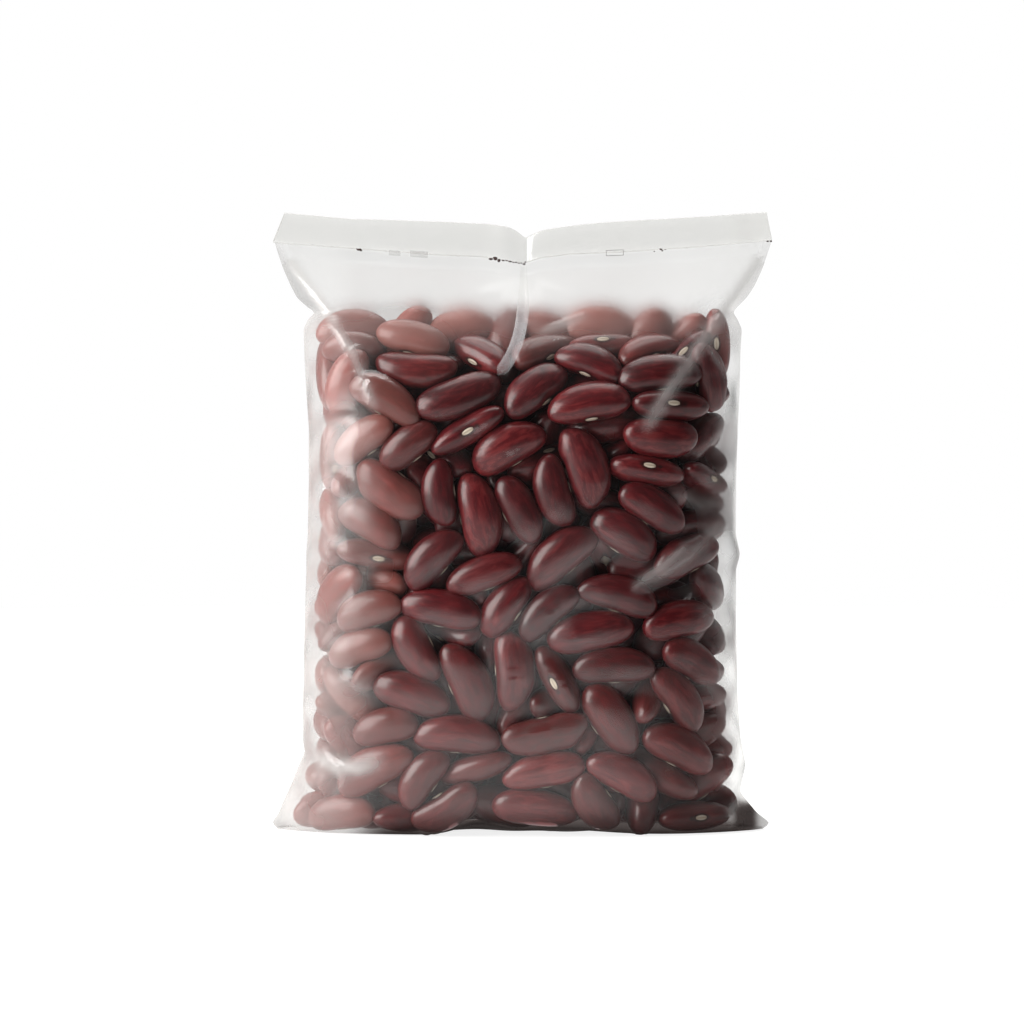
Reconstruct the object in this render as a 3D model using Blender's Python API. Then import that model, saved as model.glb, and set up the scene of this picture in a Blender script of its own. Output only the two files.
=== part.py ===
"""A clear, sealed bag filled with dried kidney beans, standing on its flat base.

The bag is one solid out to the outer face of its film. It is lofted from level sections: a flat
base with two pointed ears, an upright filled body, sloping shoulders that end in a waist, two thin
wings, and a flat folded header across the top. Front is -Y, up is +Z, sizes are in metres.
"""

from math import exp, pi, sin

import bmesh
import bpy

# Driving sizes
BAG_HEIGHT = 0.1276
FLAT_WIDTH = 0.1035  # the empty tube of film, as it lies in the header and between the two ears
BODY_WIDTH = 0.0900  # the same tube opened out by its filling
BODY_DEPTH = 0.0392
TOP_WIDTH = 0.0995
HEADER_HEIGHT = 0.0066
HEADER_DEPTH = 0.0020  # the top of the tube folded over on itself
FILM_DEPTH = 0.0010  # both walls of the tube where it lies flat
BASE_DEPTH = 0.0310
EAR_HEIGHT = 0.0155
WAIST_HEIGHT = 0.1068  # where the wings meet the body
WAIST_WIDTH = 0.0852
SHOULDER_HEIGHT = 0.0860  # where the front starts to lean back

# The header sags to a fold in its middle, which leans a little away from the front.
HEADER_SAG = 0.0022
FOLD_DIP = 0.0030
FOLD_REACH = 0.0032
FOLD_SETBACK = 0.0014

# The two ridges run from the header's ends down to the front face.
RIDGE_FOOT = 0.0290
RIDGE_SLOPE = 0.62

SIDE_STEPS = 20  # columns from the middle of the front to either side
RING_SPACING = 0.0032
BODY_RING_SPACING = 0.0090  # in the upright body, which changes little

HEADER_FOOT = BAG_HEIGHT - HEADER_HEIGHT
HEADER_STEP = 0.0004
HALF_BODY = BODY_WIDTH / 2
HALF_FLAT = FLAT_WIDTH / 2
HALF_DEPTH = BODY_DEPTH / 2

# Level sections from base to header: height, half width, half depth, flatness of the front, and
# how blunt the two side ends are (1 is a sharp crease, 3 is a round corner).
SECTIONS = [
    (0.0, HALF_FLAT - 0.0012, BASE_DEPTH / 2, 3.6, 1.25),
    (0.0012, HALF_FLAT, BASE_DEPTH / 2 + 0.0018, 3.6, 1.25),
    (0.0045, HALF_FLAT - 0.0020, HALF_DEPTH - 0.0007, 3.6, 1.5),
    (0.0090, HALF_BODY + 0.0024, HALF_DEPTH - 0.0001, 3.5, 2.2),
    (EAR_HEIGHT, HALF_BODY, HALF_DEPTH, 3.4, 3.2),
    (0.0450, HALF_BODY - 0.0004, HALF_DEPTH, 3.2, 3.2),
    (0.0740, HALF_BODY - 0.0008, HALF_DEPTH - 0.0005, 3.2, 3.2),
    (SHOULDER_HEIGHT, HALF_BODY - 0.0004, HALF_DEPTH - 0.0013, 3.4, 3.2),
    (0.0950, HALF_BODY - 0.0001, 0.0146, 3.8, 3.2),
    (0.1045, HALF_BODY - 0.0002, 0.0088, 4.4, 3.0),
    (WAIST_HEIGHT, WAIST_WIDTH / 2, 0.0073, 5.0, 2.0),
    (0.1090, HALF_BODY, 0.0060, 6.0, 1.3),
    (0.1123, HALF_BODY + 0.0027, 0.0040, 7.0, 1.0),
    (0.1165, HALF_BODY + 0.0046, 0.0016, 8.0, 1.0),
    (HEADER_FOOT - HEADER_STEP, HALF_FLAT - 0.0004, FILM_DEPTH / 2, 9.0, 1.0),
    (HEADER_FOOT, HALF_FLAT - 0.0001, HEADER_DEPTH / 2, 9.0, 1.0),
    (BAG_HEIGHT, TOP_WIDTH / 2, HEADER_DEPTH / 2, 9.0, 1.0),
]

FILM_COLOUR = (0.86, 0.85, 0.83)
FILM_OPACITY = 0.45
FILM_ROUGHNESS = 0.25
SHARP_ANGLE = pi / 6


def clear_scene():
    """Removes whatever the file opened with."""
    for thing in list(bpy.data.objects):
        bpy.data.objects.remove(thing)


def ease(share):
    """A smooth step from 0 to 1."""
    share = min(max(share, 0.0), 1.0)
    return share * share * (3.0 - 2.0 * share)


def section_at(height):
    """Half width, half depth, flatness and bluntness of the level section at this height."""
    for low, high in zip(SECTIONS, SECTIONS[1:]):
        if height <= high[0]:
            share = (height - low[0]) / (high[0] - low[0])
            return [a + (b - a) * share for a, b in zip(low[1:], high[1:])]
    return list(SECTIONS[-1][1:])


def ring_heights():
    """Each section's own height, with evenly spaced rings between."""
    heights = [SECTIONS[0][0]]
    for low, high in zip(SECTIONS, SECTIONS[1:]):
        upright = EAR_HEIGHT <= low[0] < SHOULDER_HEIGHT
        spacing = BODY_RING_SPACING if upright else RING_SPACING
        steps = max(1, round((high[0] - low[0]) / spacing))
        heights += [low[0] + (high[0] - low[0]) * (i + 1) / steps for i in range(steps)]
    return heights


def ridge_at(height):
    """Distance of the two ridges from the middle."""
    climb = (height - SHOULDER_HEIGHT) / (HEADER_FOOT - SHOULDER_HEIGHT)
    return RIDGE_FOOT + (HALF_FLAT - RIDGE_FOOT) * min(max(climb, 0.0), 1.0)


def half_depth(across, height):
    """Half depth at a point of the section, cut back outside the ridges so that they stand out."""
    width, depth, flatness, bluntness = section_at(height)
    share = min(abs(across) / width, 1.0)
    oval = depth * (1.0 - share**flatness) ** (1.0 / bluntness)
    if not SHOULDER_HEIGHT < height < HEADER_FOOT:
        return oval
    outside = max(0.0, abs(across) - ridge_at(height))
    return max(min(oval, depth - RIDGE_SLOPE * outside), min(oval, FILM_DEPTH / 2))


def fold_at(across, height):
    """(drop, setback) of the header's sag and middle fold at a point near the top."""
    share = ease((height - WAIST_HEIGHT) / (HEADER_FOOT - WAIST_HEIGHT))
    sag = HEADER_SAG * max(0.0, 1.0 - (2.0 * across / TOP_WIDTH) ** 2)
    crease = exp(-abs(across) / FOLD_REACH)
    return share * (sag + FOLD_DIP * crease), share * FOLD_SETBACK * crease


def ring_points(height):
    """The closed outline of one level section, from the left end along the front and back."""
    width = section_at(height)[0]
    columns = range(-SIDE_STEPS, SIDE_STEPS + 1)
    front = [width * sin(column / SIDE_STEPS * pi / 2) for column in columns]
    outline = [(x, -half_depth(x, height)) for x in front]
    outline += [(x, half_depth(x, height)) for x in front[-2:0:-1]]
    placed = []
    for across, depth in outline:
        drop, setback = fold_at(across, height)
        placed.append((across, depth + setback, height - drop))
    return placed


def loft(rings):
    """One closed mesh through the rings, with a flat cap under the first and one on the last."""
    mesh = bmesh.new()
    loops = [[mesh.verts.new(point) for point in ring] for ring in rings]
    count = len(loops[0])
    for low, high in zip(loops, loops[1:]):
        for i in range(count):
            j = (i + 1) % count
            mesh.faces.new((low[i], low[j], high[j], high[i]))
    mesh.faces.new(reversed(loops[0]))
    top = loops[-1]
    columns = 2 * SIDE_STEPS
    mesh.faces.new((top[0], top[1], top[count - 1]))
    for i in range(1, columns - 1):
        mesh.faces.new((top[i], top[i + 1], top[count - i - 1], top[count - i]))
    mesh.faces.new((top[columns - 1], top[columns], top[columns + 1]))
    bmesh.ops.recalc_face_normals(mesh, faces=mesh.faces)
    return mesh


def film_material():
    """Clear film with a slight milky haze."""
    material = bpy.data.materials.new("clear_film")
    material.use_nodes = True
    shader = material.node_tree.nodes["Principled BSDF"]
    shader.inputs["Base Color"].default_value = (*FILM_COLOUR, 1.0)
    shader.inputs["Alpha"].default_value = FILM_OPACITY
    shader.inputs["Roughness"].default_value = FILM_ROUGHNESS
    shader.inputs["Metallic"].default_value = 0.0
    return material


def filled_bag():
    """The sealed bag as one solid, out to its film."""
    mesh = loft([ring_points(height) for height in ring_heights()])
    data = bpy.data.meshes.new("filled_bag")
    mesh.to_mesh(data)
    mesh.free()
    data.materials.append(film_material())
    data.shade_smooth()
    data.set_sharp_from_angle(angle=SHARP_ANGLE)
    bag = bpy.data.objects.new("filled_bag", data)
    bpy.context.scene.collection.objects.link(bag)
    return bag


def main():
    clear_scene()
    filled_bag()


main()
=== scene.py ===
from math import cos, pi, radians, sin

import bpy
import numpy as np
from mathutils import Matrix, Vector


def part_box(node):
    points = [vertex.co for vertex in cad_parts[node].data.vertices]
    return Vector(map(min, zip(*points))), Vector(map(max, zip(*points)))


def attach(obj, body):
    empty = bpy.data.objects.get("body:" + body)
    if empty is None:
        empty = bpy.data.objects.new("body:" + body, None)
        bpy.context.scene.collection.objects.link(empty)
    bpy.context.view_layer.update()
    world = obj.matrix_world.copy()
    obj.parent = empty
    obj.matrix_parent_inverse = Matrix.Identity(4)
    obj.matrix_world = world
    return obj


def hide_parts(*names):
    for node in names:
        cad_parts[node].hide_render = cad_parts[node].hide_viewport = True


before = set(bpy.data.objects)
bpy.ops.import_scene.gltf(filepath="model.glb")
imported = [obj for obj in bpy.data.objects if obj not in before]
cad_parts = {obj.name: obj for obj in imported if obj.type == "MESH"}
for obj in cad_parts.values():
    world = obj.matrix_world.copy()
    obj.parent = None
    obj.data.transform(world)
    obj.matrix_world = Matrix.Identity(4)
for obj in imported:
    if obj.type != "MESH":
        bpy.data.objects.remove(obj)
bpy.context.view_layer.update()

bagLow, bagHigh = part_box("filled_bag")
unit = (bagHigh[2] - bagLow[2]) / 127.6  # metres for one millimetre of the drawing below


def curveThrough(points, soften):
    # a curve through listed points, with its corners rounded over the given length
    points = np.array(points, float)
    pitch = 0.1
    grid = np.arange(points[0, 0], points[-1, 0] + pitch / 2, pitch)
    value = np.interp(grid, points[:, 0], points[:, 1])
    reach = int(3 * soften / pitch)
    if reach:
        weight = np.exp(-0.5 * (np.arange(-reach, reach + 1) * pitch / soften) ** 2)
        padded = np.pad(value, reach, mode="reflect", reflect_type="odd")
        value = np.convolve(padded, weight / weight.sum(), mode="valid")
    return lambda at: np.interp(at, grid, value)


def ease(share):
    share = np.clip(share, 0, 1)
    return share * share * (3 - 2 * share)


def softMin(a, b, blend):
    # the lower of two surfaces, with the edge between them rounded
    mix = np.clip(0.5 + 0.5 * (b - a) / blend, 0, 1)
    return b * (1 - mix) + a * mix - blend * mix * (1 - mix)


def makePiece(name, points, faces, materials, smooth=True):
    # points are in millimetres of the drawing
    data = bpy.data.meshes.new(name)
    data.from_pydata((np.asarray(points) * unit).tolist(), [], faces)
    for material in materials:
        data.materials.append(material)
    data.update()
    if smooth:
        data.shade_smooth()
    piece = bpy.data.objects.new(name, data)
    bpy.context.scene.collection.objects.link(piece)
    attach(piece, "root")
    return piece


def storeNumbers(piece, name, values):
    values = np.asarray(values, dtype=np.float32)
    kind = "FLOAT" if values.ndim == 1 else "FLOAT_VECTOR"
    layer = piece.data.attributes.new(name, kind, "POINT")
    layer.data.foreach_set("value" if kind == "FLOAT" else "vector", values.ravel())


def newMaterial(name):
    material = bpy.data.materials.new(name)
    material.use_nodes = True
    tree = material.node_tree
    tree.nodes.clear()
    return material, tree


def addNode(tree, kind, inputs=None, **values):
    # values name the node's own settings or, with an underscore for a space, its sockets;
    # each input is another node's output or a plain value
    node = tree.nodes.new(kind)
    for name, value in values.items():
        if hasattr(node, name):
            setattr(node, name, value)
        else:
            node.inputs[name.replace("_", " ")].default_value = value
    for socket, source in (inputs or {}).items():
        if isinstance(source, bpy.types.NodeSocket):
            tree.links.new(source, node.inputs[socket])
        else:
            node.inputs[socket].default_value = source
    return node


def stored(tree, name, output="Fac"):
    # numbers kept on the mesh by storeNumbers
    return addNode(tree, "ShaderNodeAttribute", attribute_name=name).outputs[output]


def noise(tree, place, scale, detail, **values):
    inputs = {"Vector": place} if place else {}
    return addNode(tree, "ShaderNodeTexNoise", inputs, Scale=scale, Detail=detail, **values).outputs[0]


def stretched(tree, place, scale):
    return addNode(tree, "ShaderNodeMapping", {"Vector": place}, Scale=scale).outputs[0]


def mapped(tree, value, fromLow, fromHigh, toLow, toHigh):
    # a value moved from one span to another, and kept inside it
    inputs = {0: value, 1: fromLow, 2: fromHigh, 3: toLow, 4: toHigh}
    return addNode(tree, "ShaderNodeMapRange", inputs).outputs[0]


def reckon(tree, operation, *values):
    return addNode(tree, "ShaderNodeMath", dict(enumerate(values)), operation=operation).outputs[0]


def mixColours(tree, share, first, second, blend="MIX"):
    inputs = {0: share, 6: first, 7: second}
    return addNode(tree, "ShaderNodeMix", inputs, data_type="RGBA", blend_type=blend).outputs[2]


def mixShaders(tree, share, first, second):
    return addNode(tree, "ShaderNodeMixShader", {0: share, 1: first, 2: second}).outputs[0]


def colourRamp(tree, value, *stops):
    # stops are places along the ramp, from low to high, each with its colour
    node = addNode(tree, "ShaderNodeValToRGB", {"Fac": value})
    elements = node.color_ramp.elements
    elements[0].position = stops[0][0]
    elements[1].position = stops[-1][0]
    for place, colour in stops[1:-1]:
        elements.new(place)
    for element, (place, colour) in zip(elements, stops):
        element.color = (*colour, 1)
    return node.outputs[0]


def tubeFaces(rings, around, first=0, capped=True, inward=False):
    # faces between rings of points that follow each other
    faces = []
    for start in range(first, first + (rings - 1) * around, around):
        for j in range(around):
            k = (j + 1) % around
            face = (start + j, start + k, start + around + k, start + around + j)
            faces.append(face[:1] + face[:0:-1] if inward else face)
    if capped:
        ends = tuple(range(first, first + around)), tuple(range(start + around, start + 2 * around))
        faces += [ends[0], ends[1][::-1]] if inward else [ends[0][::-1], ends[1]]
    return faces


bag = {
    "outline": [  # height, half width at the left, half width at the right
        (0.0, 50.4, 50.0), (1.2, 51.7, 51.5), (3.2, 50.2, 48.8), (5.6, 49.3, 46.8), (7.6, 48.3, 45.2),
        (10.0, 47.3, 45.6), (13.4, 46.0, 46.4), (15.8, 44.8, 45.9), (18.5, 45.2, 45.4), (26.0, 45.2, 44.8),
        (47.0, 44.7, 44.4), (54.0, 44.5, 44.4), (57.0, 44.5, 45.2), (61.0, 44.2, 44.3), (72.0, 43.9, 44.3),
        (83.0, 43.9, 44.7), (90.0, 44.4, 45.0), (98.0, 44.8, 45.2), (103.4, 44.9, 45.4), (105.6, 43.9, 44.4),
        (106.8, 42.3, 43.5), (107.8, 43.9, 44.3), (109.9, 46.2, 46.4), (112.3, 47.4, 48.0),
        (116.0, 49.0, 49.7), (119.5, 50.2, 50.9), (122.0, 50.9, 51.7),
    ],
    "depth": [  # height, half depth
        (0.0, 12.6), (0.5, 14.2), (1.4, 15.8), (3.2, 17.5), (6.0, 18.8), (10.0, 19.4), (15.5, 19.6),
        (45.0, 19.6), (74.0, 19.2), (84.0, 18.8), (90.0, 18.6), (122.0, 18.6),
    ],
    "flatness": [(0.0, 3.6), (15.0, 3.3), (45.0, 3.1), (86.0, 3.2), (104.5, 4.2), (112.0, 7.0), (122.0, 9.0)],
    "sideRoundness": [
        (0.0, 1.2), (4.5, 1.4), (9.0, 2.0), (15.5, 3.1), (86.0, 3.2), (104.5, 3.0), (107.0, 1.9),
        (109.5, 1.2), (112.0, 1.0), (122.0, 1.0),
    ],
    "lean": 0.62,  # how far the upper front falls back for each millimetre up
    "leanTop": 118.6,
    "ridgeLeft": [(80.0, 27.0), (86.0, 29.5), (97.4, 34.0), (106.8, 39.7), (122.0, 50.4)],
    "ridgeRight": [(80.0, 22.5), (86.0, 26.4), (98.6, 35.5), (106.0, 40.9), (122.0, 51.4)],
    "ridgeFall": 0.62,
    "ridgeRounding": 1.5,
    "headerFoot": [  # across, height of the header's lower edge
        (-52.0, 121.3), (-39.4, 120.4), (-25.0, 119.3), (-16.8, 118.7), (-8.5, 118.4), (0.7, 117.0),
        (3.8, 118.1), (10.0, 118.9), (20.3, 119.3), (36.7, 120.4), (52.0, 121.8),
    ],
    "headerTop": [
        (-52.0, 127.6), (-48.5, 127.3), (-35.3, 126.1), (-16.8, 125.5), (-6.5, 125.0), (-2.6, 124.4),
        (-0.4, 123.2), (0.7, 121.9), (2.2, 122.9), (4.5, 123.8), (9.0, 124.5), (16.2, 125.3), (36.7, 126.5),
        (50.5, 127.5), (52.0, 127.6),
    ],
    "archLeft": (-9.0, 5.5, 2.0),  # where the front of the base lifts off the floor: middle, reach, height
    "archRight": (7.0, 13.0, 1.1),
    "columns": 165,
    "rowPitch": 0.62,
    "baseRows": 9,
}

leftEdge = curveThrough([(z, left) for z, left, right in bag["outline"]], 0.35)
rightEdge = curveThrough([(z, right) for z, left, right in bag["outline"]], 0.35)
bodyDepth = curveThrough(bag["depth"], 0.5)
flatness = curveThrough(bag["flatness"], 1.5)
sideRoundness = curveThrough(bag["sideRoundness"], 0.8)
ridgeLeft = curveThrough(bag["ridgeLeft"], 2.0)
ridgeRight = curveThrough(bag["ridgeRight"], 2.0)
headerFoot = curveThrough(bag["headerFoot"], 0.6)
headerTop = curveThrough(bag["headerTop"], 0.5)
filmTop = 121.6  # the film's last row, before it follows the sag of the header


def leanDepth(z):
    return np.maximum(bag["lean"] * (bag["leanTop"] - z) + 0.3, 0.3)


def filmDepth(x, z):
    # half depth of the bag at a place seen from the front
    side = np.where(x < 0, leftEdge(z), rightEdge(z))
    share = np.clip(np.abs(x) / side, 0, 1)
    front = softMin(bodyDepth(z), leanDepth(z), 1.2)
    oval = front * (1 - share ** flatness(z)) ** (1 / sideRoundness(z))
    ridge = np.where(x < 0, ridgeLeft(z), ridgeRight(z))
    outside = softMin(front, leanDepth(z) - bag["ridgeFall"] * (np.abs(x) - ridge), bag["ridgeRounding"])
    outside = np.maximum(outside, np.minimum(oval, 0.5))
    return np.maximum(softMin(oval, outside, 0.8), 0)


def sagAt(x, z):
    # how much lower the film lies where it follows the header's lower edge
    return (filmTop - headerFoot(x)) * ease((z - 104) / (filmTop - 104))


def archAt(x, z):
    # how far the front of the base stands off the floor
    lift = 0
    for middle, reach, height in (bag["archLeft"], bag["archRight"]):
        lift = lift + height * np.exp(-(((x - middle) / reach) ** 2))
    return lift * (1 - ease(z / 7))


def foldBackAt(x, z):
    # how far the film falls back at the header's middle fold
    return 1.2 * np.exp(-np.abs(x - 0.7) / 3.0) * ease((z - 106) / 12)


def rowOutline(z, columns):
    # points along the front of one level section, evenly spaced, from its left end to its right end
    step = np.linspace(-1, 1, 801)
    share = np.sign(step) * (1 - (1 - np.abs(step)) ** 3)
    x = np.where(share < 0, share * leftEdge(z), share * rightEdge(z))
    y = filmDepth(x, np.full_like(x, z))
    run = np.concatenate([[0], np.cumsum(np.hypot(np.diff(x), np.diff(y)))])
    at = np.linspace(0, run[-1], columns + 1)
    return np.interp(at, run, x), np.interp(at, run, y)


creases = {
    # points across and up, half width, rise of the film, and how milky the crease is
    "ridges": [
        ([(-49.0, 119.5), (-43.5, 112.3), (-39.7, 106.8), (-34.0, 97.6), (-30.0, 88.0)], 0.95, 0.30, 0.78),
        ([(49.4, 118.5), (45.0, 111.5), (40.8, 105.8), (35.5, 98.6), (29.0, 89.3), (25.5, 84.0)],
         1.35, 0.60, 0.66),
    ],
    "front": [
        ([(-38.4, 104.5), (-35.6, 100.4), (-32.6, 95.0)], 1.9, 0.0, 0.34),
        ([(3.9, 103.0), (8.0, 104.4), (13.4, 106.6)], 0.9, 0.5, 0.62),
        ([(3.0, 101.2), (9.5, 103.2)], 0.7, -0.35, 0.05),
        ([(4.4, 104.5), (-1.0, 106.0), (-4.5, 105.0)], 2.2, 0.2, 0.22),
        ([(24.4, 51.9), (30.0, 55.4), (35.5, 58.8), (41.5, 63.5)], 1.6, 0.5, 0.30),
        ([(23.0, 51.6), (28.5, 55.2), (33.5, 59.4)], 0.65, 0.4, 0.55),
        ([(27.5, 53.0), (34.5, 57.4), (41.0, 64.6)], 0.35, 0.2, 0.45),
        ([(26.0, 49.6), (33.0, 53.6), (39.0, 57.4)], 0.6, -0.4, 0.0),
        ([(33.6, 103.3), (38.0, 100.0), (41.0, 96.0), (42.2, 93.0)], 0.55, 0.2, 0.40),
        ([(-41.4, 17.5), (-37.5, 13.6), (-36.6, 11.0), (-38.6, 7.5)], 0.7, 0.3, 0.45),
        ([(-43.0, 16.8), (-38.5, 14.6), (-33.5, 14.2), (-29.0, 15.6)], 1.6, 0.0, 0.90),
        ([(-45.5, 9.0), (-41.0, 12.5), (-39.5, 17.0)], 1.8, 0.4, 0.40),
        ([(44.8, 7.0), (42.9, 4.6), (43.4, 2.2)], 0.8, 0.5, 0.45),
        ([(41.0, 12.0), (43.6, 9.4)], 0.9, 0.4, 0.24),
        ([(-1.5, 116.0), (-6.0, 113.0), (-9.0, 111.5)], 1.4, 0.08, 0.06),
        ([(2.5, 115.5), (7.5, 112.5), (12.0, 110.5)], 1.3, 0.08, 0.06),
        ([(-38.0, 44.0), (-33.0, 50.5), (-31.0, 58.0)], 1.8, 0.10, 0.24),
        ([(-38.0, 76.0), (-33.0, 71.5), (-32.5, 64.0)], 1.9, 0.10, 0.24),
        ([(-37.5, 92.0), (-33.0, 86.0), (-30.5, 78.5)], 2.0, 0.08, 0.24),
        ([(-40.0, 30.0), (-35.5, 31.5), (-31.0, 30.0)], 1.6, 0.10, 0.28),
        ([(36.0, 33.0), (40.5, 29.0), (42.5, 23.0)], 1.3, 0.5, 0.26),
        ([(37.5, 46.5), (41.0, 43.0), (42.5, 37.0)], 1.3, 0.4, 0.22),
        ([(31.5, 71.0), (37.0, 68.0), (42.0, 69.0)], 1.2, 0.3, 0.16),
    ],
    "back": [
        ([(-48.0, 119.0), (-40.0, 107.0), (-33.0, 96.5), (-27.5, 86.5)], 1.0, 0.0, 0.28),
        ([(49.0, 119.0), (41.5, 107.0), (34.5, 96.5), (29.0, 87.0)], 1.0, 0.0, 0.28),
        ([(-20.0, 101.0), (-10.0, 104.5), (2.0, 105.0)], 1.2, 0.45, 0.20),
        ([(12.0, 98.0), (18.0, 103.0), (26.0, 105.5)], 1.0, 0.4, 0.18),
        ([(-41.0, 60.0), (-34.0, 57.0), (-27.0, 52.5)], 1.3, 0.6, 0.22),
        ([(41.0, 31.0), (36.0, 35.5), (29.0, 37.5)], 1.3, 0.5, 0.20),
        ([(-43.0, 9.0), (-38.0, 13.0), (-33.0, 19.0)], 0.9, 0.5, 0.22),
        ([(43.0, 8.0), (38.5, 12.0), (35.5, 18.0)], 0.9, 0.5, 0.22),
    ],
}


def strokeShare(x, z, points, halfWidth):
    # 1 along a stroke and 0 away from it, fading at its ends
    best = np.full(x.shape, 1e9)
    place = np.zeros(x.shape)
    total = len(points) - 1
    for i in range(total):
        (ax, az), (bx, bz) = points[i], points[i + 1]
        dx, dz = bx - ax, bz - az
        along = np.clip(((x - ax) * dx + (z - az) * dz) / (dx * dx + dz * dz), 0, 1)
        gap = np.hypot(x - ax - along * dx, z - az - along * dz)
        nearer = gap < best
        best = np.where(nearer, gap, best)
        place = np.where(nearer, (i + along) / total, place)
    fade = 0.25 + 0.75 * np.sin(pi * np.clip(place, 0, 1)) ** 0.5
    return np.exp(-((best / halfWidth) ** 2)) * fade


def waves(points, length, count, seed):
    # smooth, uneven swell of the film: a few waves in chance directions, about 1 high
    rng = np.random.default_rng(seed)
    total = np.zeros(len(points))
    for _ in range(count):
        way = rng.normal(size=3)
        way /= np.linalg.norm(way)
        total += np.sin(points @ way * (2 * pi / (length * rng.uniform(0.7, 1.4))) + rng.uniform(0, 2 * pi))
    return total / count**0.5


pack = {
    "beans": 382,
    "length": (17.2, 1.25, 13.6, 19.8),  # mean, spread, least and most, in millimetres
    "width": 0.49,  # of the length
    "thickness": 0.365,
    "bend": (0.2, 1.5),
    "frontGap": 0.8,
    "topGap": 4.4,  # how much further the ones behind stay from the leaning film at the top
    "topGapFrom": 96.0,
    "sideGap": 2.3,
    "baseGap": 0.35,
    "heapTop": 110.2,
    "steps": 1300,
    "growFrom": 0.62,  # they start small and reach full size after this share of the steps
    "growUntil": 0.55,
    "pushShare": 1.25,  # how much of an overlap one step clears
    "settle": 0.0015,  # drop for each step
    "hold": 0.12,  # how firmly the laid beans keep their places
    "nearBeans": 21.0,
    "nearBalls": 2.2,
    "startSpacing": (9.0, 7.4, 7.2),
    "jitter": 2.2,
    "levelShare": 0.7,  # share that starts more or less level, and how far off level
    "levelSpread": 0.35,
}

# Beans seen against the front of the film: across, up, lean, turn about their length, length, width.
# Turn 0 shows the broad side with the hollow edge down, 90 shows the eye, 180 has the hollow edge up.
frontBeans = [
    (-23.4, 100.6, -8, 20, 15.6, 7.7), (-21.3, 95.2, 0, 130, 17.0, 7.8), (-14.1, 90.6, 5, 155, 18.9, 8.8),
    (-28.3, 88.6, -40, 0, 16.6, 7.8), (-11.6, 83.5, 8, 105, 17.0, 8.2), (-3.2, 79.6, 28, 0, 16.4, 9.0),
    (2.8, 91.8, 35, 10, 15.8, 8.6), (14.1, 88.9, 12, 0, 17.4, 8.6), (15.5, 98.0, -4, 60, 15.0, 7.4),
    (30.3, 89.9, -8, 115, 16.6, 8.2), (29.8, 81.8, -4, 180, 15.8, 8.6), (26.4, 75.2, -5, 90, 16.0, 8.0),
    (13.5, 75.0, -72, 0, 17.2, 9.3), (6.1, 70.6, -70, 230, 15.4, 7.8), (-0.5, 66.8, -75, 30, 15.2, 7.6),
    (-9.0, 65.6, 90, 200, 17.6, 8.8), (-17.0, 69.9, 88, 60, 14.0, 7.2), (-26.2, 71.4, -47, 160, 16.6, 9.2),
    (-30.6, 64.6, -52, 20, 15.0, 8.4), (-32.6, 82.0, 10, 40, 15.0, 7.6), (-24.0, 79.0, 60, 80, 14.0, 7.6),
    (20.3, 62.2, -15, 0, 15.4, 8.7), (27.0, 67.6, -32, 30, 15.6, 7.9), (7.1, 57.4, 38, 0, 17.6, 8.8),
    (-18.0, 56.8, 60, 20, 15.4, 8.2), (-7.5, 54.4, 25, 70, 16.4, 7.4), (-16.6, 46.0, -5, 0, 17.2, 8.0),
    (-3.6, 47.8, 68, 50, 14.8, 7.8), (6.2, 45.6, 52, 60, 15.4, 7.4), (19.6, 49.6, -10, 30, 17.0, 8.0),
    (13.7, 41.3, 15, 65, 18.2, 8.7), (-31.4, 46.2, 0, 0, 14.8, 8.0), (-33.0, 38.4, -8, 60, 15.0, 7.6),
    (-22.3, 36.3, 88, 20, 15.2, 7.9), (-11.2, 32.5, -67, 0, 17.4, 9.0), (-2.2, 33.9, -66, 0, 16.6, 8.6),
    (6.3, 31.3, -66, 90, 15.4, 8.0), (18.4, 35.5, 12, 60, 17.2, 7.8), (32.6, 43.6, 8, 20, 16.2, 8.0),
    (17.6, 23.8, -56, 0, 16.8, 9.0), (31.8, 27.2, -58, 95, 16.0, 8.0), (-22.5, 28.7, -35, 330, 16.6, 8.4),
    (-14.3, 20.9, 0, 0, 18.1, 8.2), (4.4, 21.3, 0, 140, 18.2, 8.2), (4.8, 13.7, 0, 60, 17.4, 7.6),
    (21.9, 13.3, -10, 10, 16.2, 7.9), (2.8, 7.4, 0, 30, 18.0, 8.0), (-16.2, 7.6, 38, 130, 15.6, 8.0),
    (-27.6, 24.0, 20, 40, 14.2, 7.9), (-31.0, 14.9, 10, 10, 18.2, 8.8), (14.9, 6.6, 86, 20, 13.8, 8.0),
    (-38.0, 5.0, 0, 30, 16.0, 7.8), (35.5, 35.6, -15, 20, 15.4, 8.0), (38.6, 73.0, 8, 60, 14.6, 7.4),
    (35.0, 57.5, 28, 40, 16.0, 7.8), (-21.0, 14.0, 70, 60, 14.4, 7.6), (29.0, 96.2, 12, 30, 17.4, 8.4),
    (38.6, 95.0, -62, 30, 14.6, 7.4), (-33.4, 98.6, 30, 60, 13.8, 7.6), (-38.4, 93.6, 50, 20, 14.8, 8.0),
]

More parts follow.
